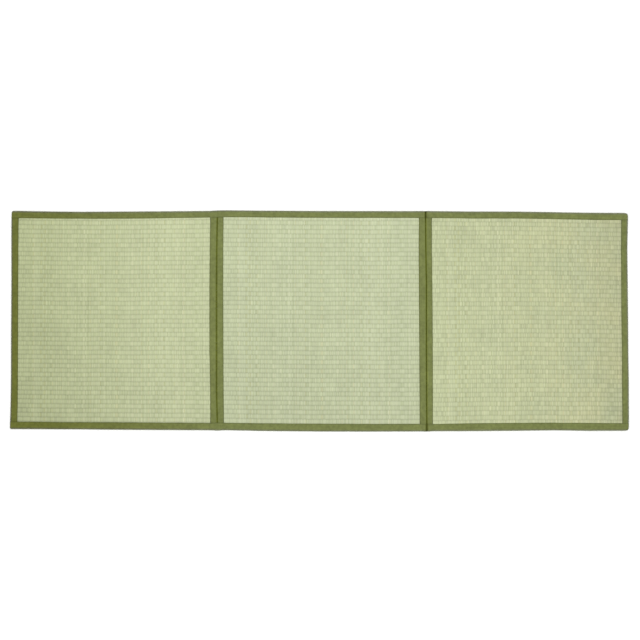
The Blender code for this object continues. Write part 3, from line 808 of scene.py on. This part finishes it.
def long_tape_stations():
    """Places along a long tape, as rows of x, lift, dip and how far the section turns."""
    keys = []
    for line, inwards in ((LEFT_END, 1), (RIGHT_END, -1)):
        for angle in CORNER_TURN:
            x = line + inwards * EDGE_RADIUS * (1 - math.sin(angle))
            keys.append((x, LIFT, 0.0, math.cos(angle), math.cos(angle)))
    for line, inwards, band in (
        (LEFT_END, 1, LEFT_END_BAND), (RIGHT_END, -1, RIGHT_END_BAND),
        (LEFT_HINGE, -1, LEFT_HINGE_BANDS[0]), (LEFT_HINGE, 1, LEFT_HINGE_BANDS[1]),
        (RIGHT_HINGE, -1, RIGHT_HINGE_BANDS[0]), (RIGHT_HINGE, 1, RIGHT_HINGE_BANDS[1]),
    ):
        for distance, share in RAMP:
            keys.append((line + inwards * (band + distance * MM), LIFT * share, 0.0, 1.0, 1.0))
    turned = EDGE_RADIUS + RIGHT_HINGE_SLIT
    for hand in (-1, 1):
        for distance, share in DIP:
            keys.append((LEFT_HINGE + hand * distance * MM, LIFT, CREASE_DIP * share, 1.0, 1.0))
        for share in np.linspace(0.0, 1.0, 5):
            distance = turned + (TOP_SLIT - turned) * share
            turn = math.sqrt(1.0 - ((turned - distance) / (EDGE_RADIUS + LIFT)) ** 2)
            keys.append((RIGHT_HINGE + hand * distance, LIFT, 0.0, turn, 1.0))
    keys = np.array(sorted(keys))
    between_keys = np.arange(LEFT_END, RIGHT_END, CLOTH_STEP)
    nearest = abs(between_keys[:, None] - keys[None, :, 0]).min(axis=1)
    open_slit = abs(between_keys - RIGHT_HINGE) < TOP_SLIT
    x = np.sort([*keys[:, 0], *between_keys[(nearest > 2 * MM) & ~open_slit]])
    return np.array([x, *(np.interp(x, keys[:, 0], values) for values in keys.T[1:])])


def close_end(piece, at_end, outwards):
    """Closes the open end of a folded tape with one face that looks this way along x."""
    pick_faces(piece, [False] * len(piece.data.polygons))
    bpy.ops.mesh.select_mode(type="VERT")
    bpy.ops.object.mode_set(mode="OBJECT")
    piece.data.vertices.foreach_set("select", at_end)
    bpy.ops.object.mode_set(mode="EDIT")
    bpy.ops.mesh.edge_face_add()
    bpy.ops.object.mode_set(mode="OBJECT")
    end_face = piece.data.polygons[len(piece.data.polygons) - 1]
    if end_face.normal.x * outwards < 0:
        pick_faces(piece, [face.index == end_face.index for face in piece.data.polygons])
        bpy.ops.mesh.flip_normals()
        bpy.ops.object.mode_set(mode="OBJECT")


def long_tape(name, hand, band, seed):
    """One long tape, from its sections at all stations, slit, bent with the mat and dressed."""
    stations = long_tape_stations()
    flat = top_distances(band)
    points_across = len(flat) + 2 * len(TURN) + 2
    piece, column, row = grid(name + "_cloth", stations.shape[1], points_across)
    x, lift, dip, top_turn, low_turn = stations[:, column]
    step = row if hand > 0 else points_across - 1 - row
    flat_at = flat[np.clip(step, 0, len(flat) - 1)]
    upper = np.clip(step - len(flat), 0, len(TURN) - 1)
    lower = np.clip(step - len(flat) - len(TURN), 0, len(TURN) - 1)
    past = step - len(flat) - 2 * len(TURN)
    angle = np.where(step < len(flat), 0.0, TURN[upper])
    distance = EDGE_RADIUS * (1 - top_turn * np.sin(angle))
    height = THICKNESS - EDGE_RADIUS - dip + (EDGE_RADIUS + lift) * top_turn * np.cos(angle)
    on_top = step < len(flat)
    distance = np.where(on_top, flat_at, distance)
    below = step >= len(flat) + len(TURN)
    angle = TURN[::-1][lower]
    distance = np.where(below, EDGE_RADIUS * (1 - low_turn * np.sin(angle)), distance)
    height = np.where(below, EDGE_RADIUS * (1 - low_turn * np.cos(angle)), height)
    distance = np.where(past == 0, (EDGE_RADIUS + band) / 2, distance)
    distance = np.where(past == 1, band, distance)

    path = np.concatenate([over_top(band), under_edge(band)])
    length = np.concatenate([[0.0], np.cumsum(np.hypot(*np.diff(path, axis=0).T))])
    put(piece, np.stack([x, hand * (HALF_WIDTH - distance), height], axis=1))
    close_end(piece, column == 0, -1)
    close_end(piece, column == stations.shape[1] - 1, 1)
    lay_map(piece, "cloth", np.stack([x, length[step]], axis=1))
    lay_map(piece, "side", np.stack([distance, height], axis=1))
    # Painted shade beside the right hinge's slit.
    lay_fold_map(piece, abs(x - RIGHT_HINGE) / SLIT_SHADE, SLIT_DARK)
    lay_map(piece, "ends", np.zeros((len(x), 2)))
    height = height + np.where(on_top, loose(distance, band, x, seed), 0.0)
    distance = distance + np.where(step == 0, wander(x * 3, x * 0, LIP_WANDER, seed), 0.0)
    put(piece, np.stack([x, hand * (HALF_WIDTH - distance), height], axis=1))
    face_x, _, face_z = face_middles(piece).T
    below_top = face_z < THICKNESS - EDGE_RADIUS - CREASE_DIP
    left_slit = (abs(face_x - LEFT_HINGE) < UNDER_SLIT) & below_top
    right_slit = (abs(face_x - RIGHT_HINGE) < TOP_SLIT) & (face_z > EDGE_RADIUS)
    cut_away(piece, left_slit | right_slit)
    put(piece, uneven(places(piece)))
    thicken(piece)
    piece.data.materials.append(tape)
    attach(piece, "root")
    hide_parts(name)


long_tape("side_tape_back", 1, BACK_BAND, 21)
long_tape("side_tape_front", -1, FRONT_BAND, 22)

# Sewing. A row of thread stitches in the tapes' own olive holds each tape down, a little
# inside its inner edge. Each stitch lies on the cloth and dives into it at both ends.
STITCH = 2.9 * MM
STITCH_PITCH = 4.0 * MM
THREAD = 0.42 * MM
STITCH_RISE = 0.02 * MM
ROW_WANDER = 0.15 * MM


def thread_finish():
    """Two-ply cotton thread, a shade lighter than the tape."""
    finish = Finish("sewing_thread", Specular_IOR_Level=0.3, Sheen_Weight=0.3)
    place = finish.node("TexCoord", {}, {}, "Object")
    ply = finish.node("TexNoise", {}, {"Vector": place, "Scale": 1500.0, "Detail": 1.0})
    tone = finish.node("TexNoise", {}, {"Vector": place, "Scale": 60.0, "Detail": 2.0})
    level = (0.98 + (ply - 0.5) * 0.3) * TAPE_LEVEL
    colour = finish.blend(tone, rgb(116, 124, 68), rgb(132, 138, 88))
    bump = finish.node("Bump", {}, {"Height": ply, "Distance": 0.1 * MM, "Strength": 0.5})
    return finish.surface(
        Base_Color=finish.shade(colour, level), Roughness=0.7 + tone * 0.1, Normal=bump
    )


def stitches(name, count):
    """A straight row of this many stitches along x, starting at zero."""
    bpy.ops.object.select_all(action="DESELECT")
    bpy.ops.mesh.primitive_uv_sphere_add(segments=6, ring_count=4, radius=1.0, location=(0, 0, 0))
    piece = bpy.context.object
    piece.name = piece.data.name = name
    shape = places(piece)[:, [2, 0, 1]] * [STITCH / 2, THREAD / 2, THREAD / 2]
    put(piece, shape)
    repeat = piece.modifiers.new("repeat", "ARRAY")
    repeat.count = count
    repeat.use_relative_offset = False
    repeat.use_constant_offset = True
    repeat.constant_offset_displace = (STITCH_PITCH, 0.0, 0.0)
    bpy.ops.object.modifier_apply(modifier=repeat.name)
    pick(piece)
    bpy.ops.object.mode_set(mode="EDIT")
    bpy.ops.mesh.select_all(action="SELECT")
    bpy.ops.mesh.normals_make_consistent(inside=False)
    bpy.ops.object.mode_set(mode="OBJECT")
    return piece


def dress_sewing(piece):
    """Gives a row of stitches its thread and its place in the mat."""
    pick(piece)
    bpy.ops.object.shade_smooth()
    piece.data.materials.append(thread)
    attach(piece, "root")


thread = thread_finish()
keys = long_tape_stations()
for name, hand, band in (("sewing_back", 1, BACK_BAND), ("sewing_front", -1, FRONT_BAND)):
    start, end = LEFT_END + 2 * EDGE_RADIUS, RIGHT_END - 2 * EDGE_RADIUS
    row = stitches(name, int((end - start) / STITCH_PITCH) + 1)
    x, y, z = places(row).T
    x = start + x
    y = hand * (HALF_WIDTH - band + SEAM_IN) + y + wander(x * 2, x * 0, ROW_WANDER, 31)
    z = z + THICKNESS + np.interp(x, keys[0], keys[1]) - np.interp(x, keys[0], keys[2])
    put(row, uneven(np.stack([x, y, z + STITCH_RISE], axis=1)))
    near_slit = abs(face_middles(row)[:, 0] - RIGHT_HINGE) < TOP_SLIT + STITCH
    cut_away(row, near_slit)
    dress_sewing(row)

for name, edge, inwards in (
    ("sewing_left_end", LEFT_END + LEFT_END_BAND, -1),
    ("sewing_left_hinge_1", LEFT_HINGE - LEFT_HINGE_BANDS[0], 1),
    ("sewing_left_hinge_2", LEFT_HINGE + LEFT_HINGE_BANDS[1], -1),
    ("sewing_right_hinge_1", RIGHT_HINGE - RIGHT_HINGE_BANDS[0], 1),
    ("sewing_right_hinge_2", RIGHT_HINGE + RIGHT_HINGE_BANDS[1], -1),
    ("sewing_right_end", RIGHT_END - RIGHT_END_BAND, 1),
):
    start, end = FRONT_CROSSING + STITCH, BACK_CROSSING - STITCH
    row = stitches(name, int((end - start) / STITCH_PITCH) + 1)
    y, x, z = places(row).T
    y = start + y
    x = edge + inwards * SEAM_IN + x + wander(y * 2, y * 0, ROW_WANDER, 32)
    put(row, uneven(np.stack([x, y, z + THICKNESS + STITCH_RISE], axis=1)))
    dress_sewing(row)

# The room: a white floor, one large soft light above it, and a camera straight over the mat.
bpy.ops.object.select_all(action="DESELECT")
bpy.ops.mesh.primitive_plane_add(size=30.0, location=(0, 0, 0))
floor = bpy.context.object
floor.name = "floor"
white = Finish("white_floor", Roughness=0.9)
floor.data.materials.append(white.surface(Base_Color=(0.97, 0.97, 0.97, 1.0)))

world = bpy.data.worlds.new("studio")
bpy.context.scene.world = world
world.use_nodes = True
world.node_tree.nodes["Background"].inputs["Color"].default_value = (1.0, 1.0, 1.0, 1.0)
world.node_tree.nodes["Background"].inputs["Strength"].default_value = 0.40


def soft_light(name, place, size, power):
    """A square soft box that looks at the mat's middle."""
    light = bpy.data.lights.new(name, "AREA")
    light.shape = "SQUARE"
    light.size = size
    light.energy = power
    lamp = bpy.data.objects.new(name, light)
    bpy.context.scene.collection.objects.link(lamp)
    lamp.location = place
    lamp.rotation_euler = (-lamp.location).to_track_quat("-Z", "Y").to_euler()


soft_light("soft_box_above", (0.05, 0.05, 3.6), 4.0, 165.0)

lens = bpy.data.cameras.new("camera")
lens.lens = 85.0
camera = bpy.data.objects.new("camera", lens)
bpy.context.scene.collection.objects.link(camera)
PIXEL = 3.242 * MM
SEEN_LEVEL = 7.0 * MM
camera.location = (
    0.6 * PIXEL, 1.0 * PIXEL + 0.5 * MM, SEEN_LEVEL + 640 * PIXEL * lens.lens / lens.sensor_width
)
bpy.context.scene.camera = camera
bpy.context.scene.view_settings.view_transform = "Standard"
